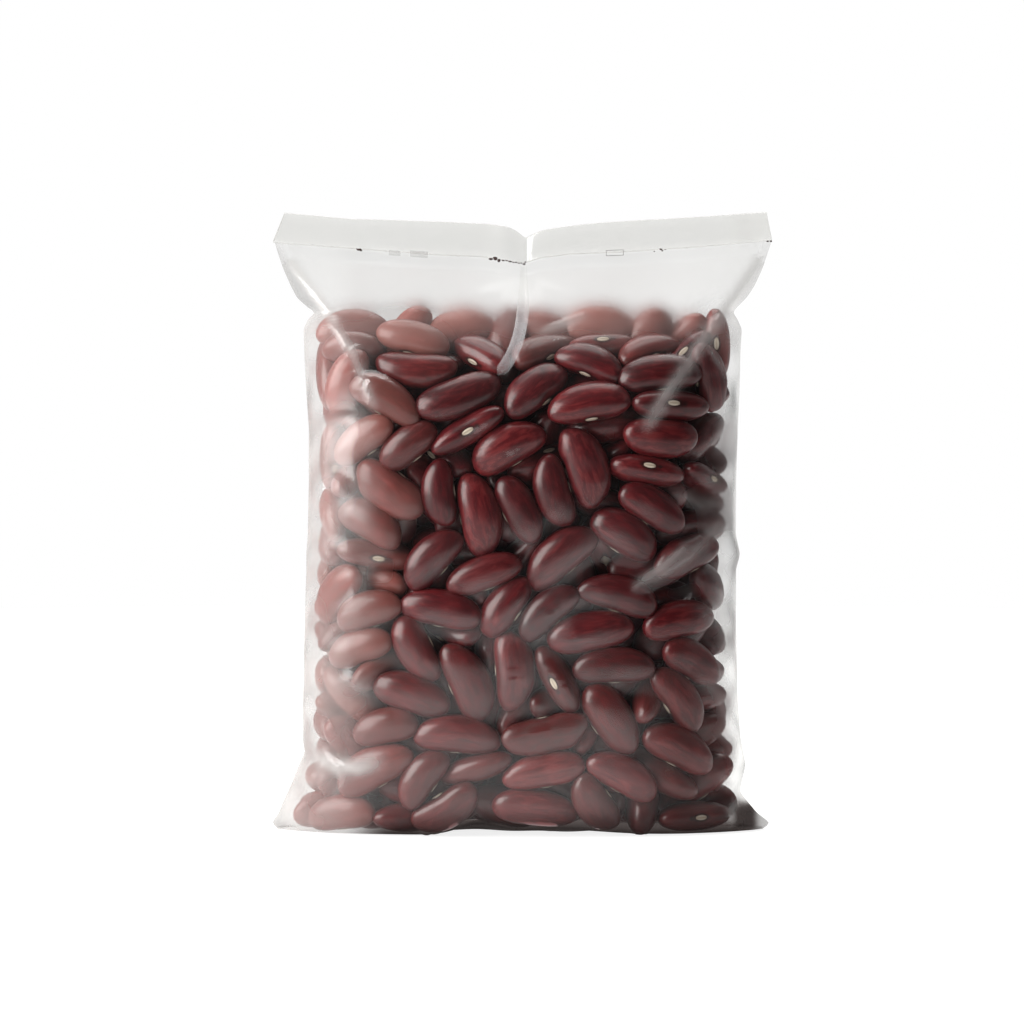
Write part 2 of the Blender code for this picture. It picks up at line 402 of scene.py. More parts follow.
# Beans of the top row, a little way behind the leaning film.
topBeans = [
    (-33.0, 105.6, 12, 40, 16.0, 8.2), (-21.2, 107.0, 75, 50, 14.0, 7.6), (-12.6, 105.8, -20, 10, 15.6, 8.8),
    (-3.4, 105.2, 40, 60, 16.2, 8.4), (5.6, 105.6, -15, 20, 15.6, 8.6), (15.4, 106.8, -6, 0, 15.6, 8.4),
    (24.8, 105.6, 35, 30, 14.8, 8.0), (32.8, 106.0, -30, 60, 15.0, 8.2), (40.0, 102.4, -75, 30, 15.4, 7.8),
    (-8.0, 98.6, -68, 20, 14.6, 7.6), (5.0, 100.4, 22, 60, 15.4, 7.6), (16.0, 102.0, -8, 20, 15.0, 7.6),
    (24.4, 99.8, 12, 60, 14.4, 7.4), (33.0, 101.0, 78, 80, 13.8, 7.4),
]
laidBeans = frontBeans + topBeans
wrinkledFront = frontBeans[6]

# Each bean is packed as eight balls: along its length, across its width, and their size.
ballPlan = np.array([
    (0.0, 0.5, 0.5), (0.0, -0.5, 0.5), (0.42, 0.47, 0.475), (0.42, -0.47, 0.475),
    (-0.42, 0.47, 0.475), (-0.42, -0.47, 0.475), (0.70, 0.0, 0.43), (-0.70, 0.0, 0.43),
])


def turnAbout(axis, angle):
    c, s = cos(angle), sin(angle)
    if axis == "x":
        return np.array([(1, 0, 0), (0, c, -s), (0, s, c)])
    if axis == "y":
        return np.array([(c, 0, s), (0, 1, 0), (-s, 0, c)])
    return np.array([(c, -s, 0), (s, c, 0), (0, 0, 1)])


def chanceTurn(rng):
    # an even chance of every direction
    w, x, y, z = rng.normal(size=4)
    n = (w * w + x * x + y * y + z * z) ** 0.5
    w, x, y, z = w / n, x / n, y / n, z / n
    return np.array([
        (1 - 2 * (y * y + z * z), 2 * (x * y - z * w), 2 * (x * z + y * w)),
        (2 * (x * y + z * w), 1 - 2 * (x * x + z * z), 2 * (y * z - x * w)),
        (2 * (x * z - y * w), 2 * (y * z + x * w), 1 - 2 * (x * x + y * y)),
    ])


def pushInside(centre, radius, spare):
    # moves balls back inside the film, the base and the top of the heap
    x, y, z = centre.T
    frontGap = pack["frontGap"] + spare * ease((z - pack["topGapFrom"]) / 6)
    side = np.where(x < 0, leftEdge(z), rightEdge(z)) - pack["sideGap"] - radius
    depth = np.maximum(bodyDepth(z) - pack["frontGap"] - radius, 1.0)
    n, m = flatness(z), np.maximum(sideRoundness(z), 1.6)
    ax, ay = np.abs(x) / side, np.abs(y) / depth
    over = ax**n + ay**m - 1
    gx = n * ax ** (n - 1) / side * np.sign(x)
    gy = m * ay ** (m - 1) / depth * np.sign(y)
    steep = gx * gx + gy * gy + 1e-9
    shift = np.where(over > 0, over / steep, 0)
    limit = np.minimum(1, 2.0 / (np.abs(shift) * np.sqrt(steep) + 1e-9))
    x = x - shift * gx * limit
    y = y - shift * gy * limit
    fall = bag["lean"]
    length = (1 + fall * fall) ** 0.5  # the leaning front and back
    over = (np.abs(y) - fall * (bag["leanTop"] - z) - 0.3) / length + radius + frontGap
    push = np.maximum(over, 0)
    y = y - push * np.sign(y) / length
    z = z - push * fall / length
    ridge = np.where(x < 0, ridgeLeft(z), ridgeRight(z))
    rise = bag["ridgeFall"]
    length = (1 + 2 * rise * rise) ** 0.5  # the two leaning corners outside the ridges
    over = np.abs(y) - fall * (bag["leanTop"] - z) - 0.3 + rise * (np.abs(x) - ridge)
    push = np.maximum(over / length + radius + 0.6, 0) * (np.abs(x) > ridge - 4)
    x = x - push * np.sign(x) * rise / length
    y = y - push * np.sign(y) / length
    z = z - push * 0.26 / length
    z = np.minimum(z, pack["heapTop"] - radius)
    floor = pack["baseGap"] + np.where(y < 0, archAt(x, np.zeros_like(x)), 0) + radius
    z = np.maximum(z, floor)
    return np.stack([x, y, z], axis=1)


def startBeans(rng):
    # the sizes, starting places and turns, and how far each one stays behind the film at the top
    count = pack["beans"]
    mean, spread, least, most = pack["length"]
    size = np.empty((count, 3))
    size[:, 0] = np.clip(rng.normal(mean, spread, count), least, most)
    size[:, 1] = size[:, 0] * pack["width"] * rng.normal(1, 0.045, count)
    size[:, 2] = size[:, 0] * pack["thickness"] * rng.normal(1, 0.05, count)
    bend = rng.uniform(*pack["bend"], count)
    place = np.empty((count, 3))
    turn = np.empty((count, 3, 3))
    front = len(laidBeans)
    spare = np.where(np.arange(count) < len(frontBeans), 0.0, pack["topGap"])
    for i, (across, up, lean, roll, length, width) in enumerate(laidBeans):
        size[i] = length, width, width * rng.uniform(0.72, 0.8)
        depth = filmDepth(np.array([across]), np.array([up]))[0] - size[i, 2] / 2 - 1.0 - spare[i]
        place[i] = across, -depth, up
        turn[i] = turnAbout("y", -radians(lean)) @ turnAbout("x", radians(180 - roll))
    # the rest start on a loose, uneven grid
    spots = []
    stepX, stepY, stepZ = pack["startSpacing"]
    for z in np.arange(5, 108, stepZ):
        for x in np.arange(-40, 41, stepX):
            for y in np.arange(-15, 16, stepY):
                spot = np.array([x, y, z]) + rng.uniform(-pack["jitter"], pack["jitter"], 3)
                depth = filmDepth(spot[:1], spot[2:])[0] - 3.0
                gap = np.linalg.norm(place[:front] - spot, axis=1).min()
                if abs(spot[1]) < depth and gap > 7.0:
                    spots.append(spot)
    spots = np.array(spots)[rng.permutation(len(spots))]
    while len(spots) < count - front:
        again = spots[rng.permutation(len(spots))]
        spots = np.concatenate([spots, again + rng.uniform(-3, 3, spots.shape)])
    place[front:] = spots[: count - front]
    for i in range(front, count):
        turn[i] = chanceTurn(rng)
        if rng.random() < pack["levelShare"]:
            turn[i] = turnAbout("z", rng.uniform(0, 2 * pi))
            turn[i] = turn[i] @ turnAbout("y", rng.normal(0, pack["levelSpread"]))
            turn[i] = turn[i] @ turnAbout("x", rng.uniform(0, 2 * pi))
    return size, bend, place, turn, spare


def closePairs(place, balls, radius):
    # the balls of different beans that are near enough to meet in the next few steps
    near = np.linalg.norm(place[:, None] - place[None], axis=2) < pack["nearBeans"]
    a, b = np.nonzero(np.triu(near, 1))
    each = np.arange(len(ballPlan))
    first = (a[:, None, None] * len(each) + each[None, :, None] + 0 * each[None, None]).ravel()
    second = (b[:, None, None] * len(each) + 0 * each[None, :, None] + each[None, None]).ravel()
    gap = np.linalg.norm(balls[first] - balls[second], axis=1) - radius[first] - radius[second]
    close = gap < pack["nearBalls"]
    return first[close], second[close]


def packBeans():
    size, bend, place, turn, spare = startBeans(np.random.default_rng(11))
    count, front = len(size), len(laidBeans)
    homePlace, homeTurn = place[:front].copy(), turn[:front].copy()
    radius = ballPlan[None, :, 2] * size[:, 2:3]
    local = np.zeros((count, len(ballPlan), 3))
    local[:, :, 0] = ballPlan[None, :, 0] * size[:, 0:1] / 2
    local[:, :, 2] = ballPlan[None, :, 1] * (size[:, 1:2] - size[:, 2:3])
    local[:, :, 2] += bend[:, None] * (ballPlan[None, :, 0] ** 2 - 0.25)
    middle = local.mean(axis=1, keepdims=True)
    spare = np.repeat(spare, len(ballPlan))
    for step in range(pack["steps"]):
        grow = pack["growFrom"] + (1 - pack["growFrom"]) * step / (pack["growUntil"] * pack["steps"])
        grow = min(1.0, grow)
        shape = local * grow
        balls = (place[:, None] + np.einsum("nij,nkj->nki", turn, shape)).reshape(-1, 3)
        grown = radius.ravel() * grow
        if step % 8 == 0:
            first, second = closePairs(place, balls, grown)
        apart = balls[first] - balls[second]
        length = np.linalg.norm(apart, axis=1) + 1e-9
        overlap = np.maximum(grown[first] + grown[second] - length, 0)
        touch = overlap > 0
        push = apart[touch] / length[touch, None] * overlap[touch, None] * 0.5
        moved = np.zeros_like(balls)
        hits = np.zeros(len(balls))
        np.add.at(moved, first[touch], push)
        np.add.at(moved, second[touch], -push)
        np.add.at(hits, first[touch], 1)
        np.add.at(hits, second[touch], 1)
        balls = balls + moved / np.maximum(hits, 1)[:, None] * pack["pushShare"]
        settling = pack["settle"] * (1 - ease((step / pack["steps"] - 0.75) * 4))
        balls[:, 2] -= settling
        balls = pushInside(balls, grown, spare)
        # each bean follows its own balls as one stiff body
        held = balls.reshape(count, -1, 3)
        centre = held.mean(axis=1)
        spread3 = np.einsum("nki,nkj->nij", held - centre[:, None], shape - middle * grow)
        u, _, v = np.linalg.svd(spread3)
        flip = np.ones((count, 3))
        flip[:, 2] = np.linalg.det(u @ v)
        turn = u @ (flip[:, :, None] * v)
        place = centre - np.einsum("nij,nj->ni", turn, middle[:, 0] * grow)
        # the laid ones are drawn back to where they were laid
        pull = pack["hold"] * (1 - 0.85 * ease((step / pack["steps"] - 0.8) * 5))
        place[:front, 0] += (homePlace[:, 0] - place[:front, 0]) * pull
        place[:front, 2] += (homePlace[:, 2] - place[:front, 2]) * pull
        place[:front, 1] -= 0.8 * pull
        mixed = turn[:front] * (1 - pull) + homeTurn * pull
        u, _, v = np.linalg.svd(mixed)
        turn[:front] = u @ v
    print("beans packed, deepest overlap", round(float(overlap.max()), 2), "mm, mean of touching",
          round(float(overlap[touch].mean()), 3))
    return size, bend, place, turn


def coverBalls(size, bend, place, turn):
    # balls that fill the beans closely, for the film to keep clear of
    local, radii = [], []
    for far in np.linspace(-0.9, 0.9, 9):
        ring = (1 - abs(far) ** beanLook["endFullness"]) ** (1 / 2.1)
        for side in (-1, 0, 1):
            across = side * (size[:, 1] - size[:, 2]) / 2 * ring + bend * (far**2 - 0.25)
            local.append(np.stack([far * size[:, 0] / 2, 0 * across, across], axis=1))
            radii.append(size[:, 2] / 2 * ring)
    balls = place[:, None] + np.einsum("nij,nkj->nki", turn, np.stack(local, axis=1))
    return balls.reshape(-1, 3), np.stack(radii, axis=1).ravel()


beanLook = {
    "rings": 22,
    "around": 18,
    "endFullness": 2.25,  # higher is blunter ends
    "sideFullness": 2.15,
    "hollow": 0.35,  # dip beside the eye
    "eyeLength": 2.9,
    "eyeWidth": 1.25,
    "eyeRise": 0.12,
    "wrinkle": 0.16,
    # painted light: how much paler the skin is made at the top, left and bottom of the heap, and the pale
    # colour it is made towards
    "topPaintedLight": 0.74,
    "leftPaintedLight": 0.36,
    "lowPaintedLight": 0.07,
    "paintedLightSkin": (0.42, 0.155, 0.125),
}


def beanPoints(size, bend, uneven, along, around, lift=0.0):
    # points on beans lying along x with their hollow side up; along and around are angles
    length, width, thick = size[:, 0, None], size[:, 1, None], size[:, 2, None]
    bend = bend[:, None]
    far = -np.cos(along)[None]
    ring = np.maximum(1 - np.abs(far) ** beanLook["endFullness"], 0) ** (1 / 2.1)
    ring = ring * (1 + uneven[:, 0, None] * far)
    power = 2 / beanLook["sideFullness"]
    c, s = np.cos(around)[None], np.sin(around)[None]
    y = np.sign(c) * np.abs(c) ** power * (thick / 2 + lift) * ring
    z = np.sign(s) * np.abs(s) ** power * (width / 2 + lift) * ring
    x = far * (length / 2 + lift) + uneven[:, 1, None] * z * 0.5
    z = z - beanLook["hollow"] * np.exp(-((far / 0.42) ** 2)) * np.maximum(s, 0) ** 3
    z = z + bend * (far**2 - 0.25)
    y = y + uneven[:, 2, None] * far**2
    return np.stack([x + 0 * y, y, z], axis=2)


def beanGrid():
    # the angles and faces of one bean
    rings, around = beanLook["rings"], beanLook["around"]
    lengthwise = np.linspace(0, pi, rings + 1)[1:-1]
    lengthwise = lengthwise + 0.12 * np.sin(2 * lengthwise)
    turns = np.arange(around) * 2 * pi / around
    along = np.concatenate([[0.0], np.repeat(lengthwise, around), [pi]])
    about = np.concatenate([[0.0], np.tile(turns, rings - 1), [0.0]])
    faces = tubeFaces(rings - 1, around, 1, capped=False)
    last = 1 + (rings - 2) * around
    for j in range(around):
        k = (j + 1) % around
        faces.append((0, 1 + k, 1 + j))
        faces.append((last + j, last + k, last + around))
    return along, about, faces


def repeatFaces(faces, step, count):
    return [tuple(i + step * n for i in face) for n in range(count) for face in faces]


def eyeGrid():
    # a small oval patch on the hollow side of a bean: rings from its middle to its rim
    rings, around = 4, 14
    places = [(0.0, 0.0)]
    for r in range(1, rings + 1):
        for j in range(around):
            angle = j * 2 * pi / around
            places.append((r / rings * cos(angle), r / rings * sin(angle)))
    faces = [(0, 1 + j, 1 + (j + 1) % around) for j in range(around)]
    return np.array(places), faces + tubeFaces(rings, around, 1, capped=False, inward=True)


def makeBeans(packed, skins, eyeMaterial):
    size, bend, place, turn = packed
    count = len(size)
    rng = np.random.default_rng(23)
    uneven = np.stack([
        rng.normal(0, 0.05, count), rng.normal(0, 0.03, count), rng.normal(0, 0.25, count)
    ], axis=1)
    tone = np.clip(rng.normal(0.45, 0.22, count), 0, 1)
    # painted light: those at the top of the heap, along the left and low down get a paler skin colour that
    # stands in for the light and reflections falling on them there
    paintedLight = beanLook["topPaintedLight"] * ease((place[:, 2] - 97) / 8)
    paintedLight = np.maximum(paintedLight, beanLook["leftPaintedLight"] * ease((-place[:, 0] - 18) / 16))
    paintedLight = np.maximum(paintedLight, beanLook["lowPaintedLight"] * ease((45 - place[:, 2]) / 20))
    paintedLight *= rng.uniform(0.6, 1.3, count)
    kindOf = rng.choice(len(skins), size=count, p=[share for name, share, skin in skins])
    kindOf[frontBeans.index(wrinkledFront)] = 2
    along, about, faces = beanGrid()
    for kind, (name, share, skin) in enumerate(skins):
        chosen = np.nonzero(kindOf == kind)[0]
        points = beanPoints(size[chosen], bend[chosen], uneven[chosen], along, about)
        if name == "wrinkledBeans":
            for n, i in enumerate(chosen):
                swell = waves(points[n], 5.0, 12, 900 + i) + 0.3 * waves(points[n], 3.2, 12, 1900 + i)
                middle = points[n] / np.linalg.norm(points[n], axis=1, keepdims=True)
                points[n] += middle * (beanLook["wrinkle"] * swell)[:, None]
        world = place[chosen][:, None] + np.einsum("nij,nkj->nki", turn[chosen], points)
        piece = makePiece(
            name, world.reshape(-1, 3), repeatFaces(faces, len(along), len(chosen)), [skin]
        )
        shifted = points + (np.arange(len(chosen)) * 37.0 % 211)[:, None, None]
        storeNumbers(piece, "ownPlace", shifted.reshape(-1, 3))
        storeNumbers(piece, "tone", np.repeat(tone[chosen], len(along)))
        storeNumbers(piece, "paintedLight", np.repeat(paintedLight[chosen], len(along)))
        fromEye = points.copy()
        fromEye[:, :, 2] = np.where(points[:, :, 2] > 0, 0, 9)
        storeNumbers(piece, "fromEye", fromEye.reshape(-1, 3))
        print(name, len(chosen), "beans")
    places, faces = eyeGrid()
    reach = places[:, 0] * beanLook["eyeLength"] / 2
    aside = places[:, 1] * beanLook["eyeWidth"] / 2
    rim = np.hypot(places[:, 0], places[:, 1])
    eyes = []
    for n in range(count):
        length, _, thick = size[n]
        far = np.clip(reach / (length / 2), -0.9, 0.9)
        ring = (1 - np.abs(far) ** beanLook["endFullness"]) ** (1 / 2.1)
        lean = np.clip(aside / (thick / 2 * ring), -0.95, 0.95)
        about = pi / 2 - np.sign(lean) * np.arcsin(np.abs(lean) ** (beanLook["sideFullness"] / 2))
        lift = beanLook["eyeRise"] * (1 - rim**6) - 0.05 * rim**6
        lift -= 0.06 * np.exp(-((places[:, 1] / 0.2) ** 2))
        one = slice(n, n + 1)
        flat = np.arccos(-far)
        patch = beanPoints(size[one], bend[one], uneven[one], flat, about)[0]
        patch[:, 2] += lift
        eyes.append(place[n] + patch @ turn[n].T)
    eyePiece = makePiece(
        "beanEyes", np.concatenate(eyes), repeatFaces(faces, len(places), count), [eyeMaterial]
    )
    storeNumbers(eyePiece, "rim", np.tile(rim, count))
    storeNumbers(eyePiece, "slit", np.tile(np.exp(-((places[:, 1] / 0.3) ** 2)) * (rim < 0.8), count))


skinKinds = {
    # share of the beans, colour where dark, middling and pale, least roughness
    "redBeans": (0.50, (0.041, 0.0024, 0.0039), (0.089, 0.0048, 0.0076), (0.18, 0.021, 0.022), 0.26),
    "darkBeans": (0.38, (0.030, 0.0022, 0.0033), (0.065, 0.0038, 0.0058), (0.125, 0.014, 0.016), 0.28),
    "wrinkledBeans": (0.12, (0.036, 0.0024, 0.0039), (0.080, 0.0050, 0.0078), (0.17, 0.023, 0.024), 0.30),
}


skinLook = {
    "drawnOut": (0.20, 0.9, 0.9),  # streaks and grain run along the bean
    "toneShare": 0.34,  # how much the bean's own tone, its streaks and its clouding count
    "streakShare": 0.42,
    "cloudShare": 0.24,
    "stops": (0.12, 0.50, 0.92),
    "rim": (1.55, 1.05, 0.0, 0.80),  # the rim's outer and inner edge, and how dark it is at each
    "pit": (0.75, 0.25, 0.0, 0.85),
    "pitPlace": (2.2, 0.0, 0.0),
    "darkest": (0.012, 0.003, 0.003),
    "unevenShine": 0.14,
    "specular": 0.40,
    "coat": 0.24,
    "coatRoughness": 0.16,
    "eyeColour": (0.66, 0.58, 0.47),
    "eyeRim": (0.10, 0.035, 0.03),
    "eyeSlit": (0.42, 0.34, 0.26),
}


def beanSkin(name, dark, warm, pale, shine):
    material, tree = newMaterial(name)
    place = stored(tree, "ownPlace", "Vector")
    fromEye = stored(tree, "fromEye", "Vector")
    drawn = stretched(tree, place, skinLook["drawnOut"])
    streaks = noise(tree, drawn, 1.3, 2.5, Roughness=0.5, Distortion=0.7)
    cloud = noise(tree, place, 0.22, 3.0)
    grain = noise(tree, drawn, 2.6, 2.0, Roughness=0.5)
    # the tone of the bean, its clouding and its streaks together choose the colour
    streakShare = mapped(tree, streaks, 0.34, 0.66, 0.0, skinLook["streakShare"])
    cloudShare = mapped(tree, cloud, 0.34, 0.66, 0.0, skinLook["cloudShare"])
    both = reckon(tree, "ADD", streakShare, cloudShare)
    mixed = reckon(tree, "MULTIPLY_ADD", stored(tree, "tone"), skinLook["toneShare"], both)
    colour = colourRamp(tree, mixed, *zip(skinLook["stops"], (dark, warm, pale)))
    # painted light: the skin is blended towards a pale colour that stands in for light at the top, left and
    # bottom of the heap
    paintedLightBlend = mixColours(tree, stored(tree, "paintedLight"), colour, (*beanLook["paintedLightSkin"], 1))
    # a thin dark rim round the eye, and the small dark pit at one end of it
    oval = stretched(tree, fromEye, (0.66, 1.45, 1.0))
    away = addNode(tree, "ShaderNodeVectorMath", {0: oval}, operation="LENGTH").outputs["Value"]
    pitAway = addNode(
        tree, "ShaderNodeVectorMath", {0: fromEye, 1: skinLook["pitPlace"]}, operation="DISTANCE"
    ).outputs["Value"]
    rimShare = mapped(tree, away, *skinLook["rim"])
    pitShare = mapped(tree, pitAway, *skinLook["pit"])
    shade = reckon(tree, "MAXIMUM", rimShare, pitShare)
    bump = addNode(tree, "ShaderNodeBump", {"Height": mixed}, Strength=0.3, Distance=0.0001)
    shader = addNode(tree, "ShaderNodeBsdfPrincipled", {
        "Base Color": mixColours(tree, shade, paintedLightBlend, (*skinLook["darkest"], 1)),
        "Roughness": mapped(tree, grain, 0.0, 1.0, shine, shine + skinLook["unevenShine"]),
        "Normal": bump.outputs[0],
        "Specular IOR Level": skinLook["specular"],
        "Coat Weight": skinLook["coat"],
        "Coat Roughness": skinLook["coatRoughness"],
    })
    addNode(tree, "ShaderNodeOutputMaterial", {"Surface": shader.outputs[0]})
    return material


def eyeSkin():
    material, tree = newMaterial("bean eye")
    stops = (0.70, skinLook["eyeColour"]), (0.98, skinLook["eyeRim"])
    colour = colourRamp(tree, stored(tree, "rim"), *stops)
    line = mixColours(tree, stored(tree, "slit"), colour, (*skinLook["eyeSlit"], 1))
    shader = addNode(tree, "ShaderNodeBsdfPrincipled", {"Base Color": line}, Roughness=0.55)
    addNode(tree, "ShaderNodeOutputMaterial", {"Surface": shader.outputs[0]})
    return material


film = {
    "milk": 0.006,  # how much of the film is milky, away from creases
    "leftMilk": 0.28,  # added towards the left edge of the bag
    "rightMilk": 0.03,
    "headerMilk": 0.07,
    "topMilk": 0.15,  # over the top row of beans
    "underMilk": 0.04,
    "milkColour": (0.62, 0.615, 0.605),
    "clearness": (0.932, 0.932, 0.928),  # light that one layer lets through
    "glancing": (0.97, 0.97, 0.965),  # light left of that at a glancing angle
    "frost": 0.85,  # share of the view that is blurred where the film stands clear of the beans
    "frostBend": 1.42,
    "frostRoughness": 0.9,
    "gloss": 0.12,  # roughness of the reflections
    "faceGloss": 0.045,  # strength of the reflections seen straight on, and at the edge
    "edgeGloss": 0.55,
    "glancePower": 4.5,
    "ridgeShine": 1.1,
    "footDulling": 0.94,  # reflections lost along the floor, at the right, outside the left ridge,
    "rightDulling": 0.7,  # along both sides and beside the middle fold
    "outsideDulling": 0.85,
    "sideDulling": 0.96,
    "foldDulling": 0.7,
    "underSheen": 0.05,
    # painted shade: the next entries darken the film along its foot, under the bag, at the bottom corners, on
    # the right and beside the header
    "footShade": (0.42, 0.55),  # painted shadow: a dark tint in the lowest millimetre, and over the next few
    "underShade": 0.92,
    "earShade": 0.85,
    "tipClearing": 0.82,
    "leftEarShade": 0.05,
    "rightShade": 0.14,
    "headerShade": 0.002,
    "wingShade": 0.126,
    # the colour that the painted shade darkens the film towards
    "shadeColour": (0.085, 0.055, 0.050),
    "clearOfBeans": 0.4,
    "slack": 0.34,  # how far the film sinks between beans
    "swell": 0.14,
    "ripple": 0.03,
    "lowest": 0.02,
}


def filmMaterial(name, look):
    material, tree = newMaterial(name)
    geometry = addNode(tree, "ShaderNodeNewGeometry")
    place = stretched(tree, geometry.outputs["Position"], (1, 1, 1.6))
    haze = noise(tree, place, 55.0, 4.0)
    fine = noise(tree, place, 260.0, 2.0)
    # the marked milkiness is patchy, the film's own is even
    patches = mapped(tree, haze, 0.36, 0.64, 0.65, 1.3)
    own = mapped(tree, haze, 0.3, 0.75, look["milk"] * 0.45, look["milk"] * 1.7)
    marked = reckon(tree, "MULTIPLY_ADD", stored(tree, "milk"), patches, own)
    milkShare = addNode(tree, "ShaderNodeClamp", {"Value": marked}).outputs[0]
    bump = addNode(tree, "ShaderNodeBump", {"Height": fine}, Strength=0.06, Distance=0.00006).outputs[0]
    rough = mapped(tree, haze, 0.3, 0.7, film["gloss"] * 0.7, film["gloss"] * 1.6)
    # the film mirrors the same from inside and outside, and both mirrors and dims more at a glancing angle
    facing = addNode(tree, "ShaderNodeLayerWeight", {"Normal": bump}, Blend=0.5).outputs["Facing"]
    glance = reckon(tree, "POWER", facing, film["glancePower"])
    mirror = mapped(tree, glance, 0.0, 1.0, film["faceGloss"], look["edgeGloss"])
    mirrored = reckon(tree, "MULTIPLY", mirror, stored(tree, "sheen"))
    # painted shade: the stored shade darkens the film's clearness towards the shade colour
    shadedClearness = mixColours(tree, stored(tree, "shade"), (*look["clearness"], 1), (*film["shadeColour"], 1))
    dimming = mixColours(tree, glance, shadedClearness, (*film["glancing"], 1), "MULTIPLY")
    clear = addNode(tree, "ShaderNodeBsdfTransparent", {"Color": dimming})
    frosted = addNode(
        tree, "ShaderNodeBsdfRefraction", {"Color": dimming}, Roughness=film["frostRoughness"],
        IOR=film["frostBend"]
    )
    ray = addNode(tree, "ShaderNodeLightPath")
    seen = reckon(tree, "MULTIPLY", ray.outputs["Is Camera Ray"], stored(tree, "frost"))
    through = mixShaders(tree, seen, clear.outputs[0], frosted.outputs[0])
    face = addNode(tree, "ShaderNodeBsdfDiffuse", Color=(*look["milkColour"], 1))
    back = addNode(tree, "ShaderNodeBsdfTranslucent", Color=(*look["milkColour"], 1))
    milky = mixShaders(tree, 0.5, face.outputs[0], back.outputs[0])
    body = mixShaders(tree, milkShare, through, milky)
    gloss = addNode(
        tree, "ShaderNodeBsdfGlossy", {"Roughness": rough, "Normal": bump}, Color=(1, 1, 1, 1)
    )
    surface = mixShaders(tree, mirrored, body, gloss.outputs[0])
    addNode(tree, "ShaderNodeOutputMaterial", {"Surface": surface})
    return material


def slackAt(points, balls, radii):
    # how far the film may sink towards the beans behind it
    gap = np.full(len(points), 99.0, dtype=np.float32)
    balls = balls.astype(np.float32)
    points = points.astype(np.float32)
    for start in range(0, len(points), 1500):
        part = points[start:start + 1500]
        low, high = part.min(axis=0) - 9, part.max(axis=0) + 9
        near = np.all((balls > low) & (balls < high), axis=1)
        if near.any():
            apart = part[:, None] - balls[near][None]
            reach = np.sqrt((apart**2).sum(axis=2)) - radii[near][None]
            gap[start:start + 1500] = reach.min(axis=1)
    return gap


def spreadOut(grid, passes):
    # evens out a value over the film's rows and columns
    for _ in range(passes):
        below, above = np.concatenate([grid[:1], grid[:-1]]), np.concatenate([grid[1:], grid[-1:]])
        grid = 0.4 * grid + 0.15 * (np.roll(grid, 1, 1) + np.roll(grid, -1, 1) + below + above)
    return grid


def filmMilk(x, z):
    # the film's milkiness from place to place, before its creases
    milk = film["headerMilk"] * ease((z - 106) / 8)
    milk += film["topMilk"] * ease((z - 96) / 9) * ease((110 - z) / 5)
    milk += film["leftMilk"] * ease((-x - 26) / 17) * ease((110 - z) / 8) * (1 - 0.55 * ease((z - 82) / 10))
    milk += film["rightMilk"] * ease((x - 30) / 14) * ease((110 - z) / 8)
    return milk


def filmSheen(x, z, ends):
    # the film is duller low down and on the right, and dullest where it bunches along the floor
    sheen = 1 - film["footDulling"] + film["footDulling"] * ease((z - 0.5) / 7)
    sheen = sheen * (1 - film["rightDulling"] * ease((x - 14) / 20))
    outside = ease((-x - ridgeLeft(z) + 0.5) / 2) * ease((z - 84) / 8)
    sheen = sheen * (1 - film["outsideDulling"] * outside)
    sheen = sheen * (1 - film["sideDulling"] * ease((27 - ends) / 14))
    return sheen * (1 - film["foldDulling"] * np.exp(-(((x - 0.7) / 12) ** 2)) * ease((z - 103) / 6))


def filmShade(x, z):
    # painted shade: a dark tint along the foot, at the bottom corners, on the right and beside the header
    lowest, wider = film["footShade"]
    rim = lowest * np.exp(-(z**2)) + wider * np.exp(-((z / (3.2 + 1.8 * ease(x / 20))) ** 2))
    rim = rim * ease((x + 38) / 12)
    ear = film["earShade"] * ease((x - 42.0) / 2.5) * ease((6.5 - z) / 2)
    # only the tip of the right corner is pale again
    rim, ear = (part * (1 - film["tipClearing"] * ease((x - 47.7) / 1.5)) for part in (rim, ear))
    ear += film["leftEarShade"] * ease((-x - 40) / 4) * ease((30 - z) / 12)
    aside = film["rightShade"] * ease((x - 20) / 12) * (1 - ease((x - 40) / 3)) * ease((104 - z) / 8)
    wing = film["wingShade"] * ease((np.abs(x) - ridgeLeft(z) + 1) / 3) * (1 - 0.4 * (x > 0))
    wing = (film["headerShade"] + wing) * ease((z - 104) / 5)
    return np.max([rim, aside, ear, wing], axis=0)


